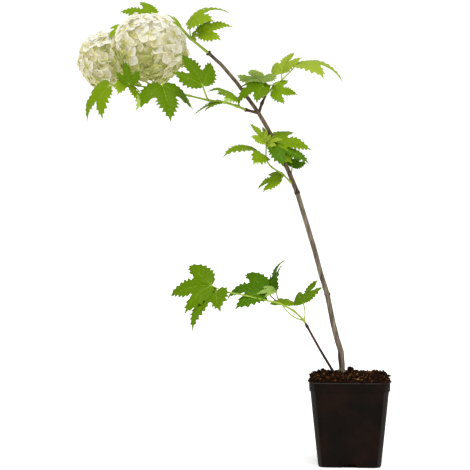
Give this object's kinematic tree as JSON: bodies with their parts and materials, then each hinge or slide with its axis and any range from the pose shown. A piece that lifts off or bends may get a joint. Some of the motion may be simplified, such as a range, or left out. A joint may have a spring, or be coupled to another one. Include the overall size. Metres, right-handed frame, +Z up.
{
  "type": "snowball viburnum",
  "caption": "Young snowball viburnum in a square nursery pot: a slender leaning trunk with a fork, leafy sprays and round white flower heads.",
  "frame": {"origin": "middle of the flat underside of the pot", "axes": "+Z up; +X to the side that the plant leans away from; -Y towards the side that shows both flower heads best"},
  "size_m": [0.3601, 0.1289, 0.5319],
  "materials": {
    "pot_plastic": "moulded recycled polypropylene, dark brown-black, satin",
    "potting_mix": "moist bark and peat crumbs",
    "bark": "thin smooth grey-tan bark, darker at the joints",
    "leaf_green": "fresh spring leaves and green shoots, satin",
    "petal_white": "creamy white petals, soft and matt"
  },
  "bodies": {
    "root": {"pot": "pot_plastic", "potting_mix": "potting_mix", "trunk": "bark", "side_stem": "bark", "right_bough": "bark", "flower_bough": "bark", "low_spray": "leaf_green", "middle_spray": "leaf_green", "right_spray": "leaf_green", "flower_spray": "leaf_green", "tip_spray": "leaf_green", "snowball_front": "petal_white", "snowball_rear": "petal_white"}
  },
  "joints": []
}
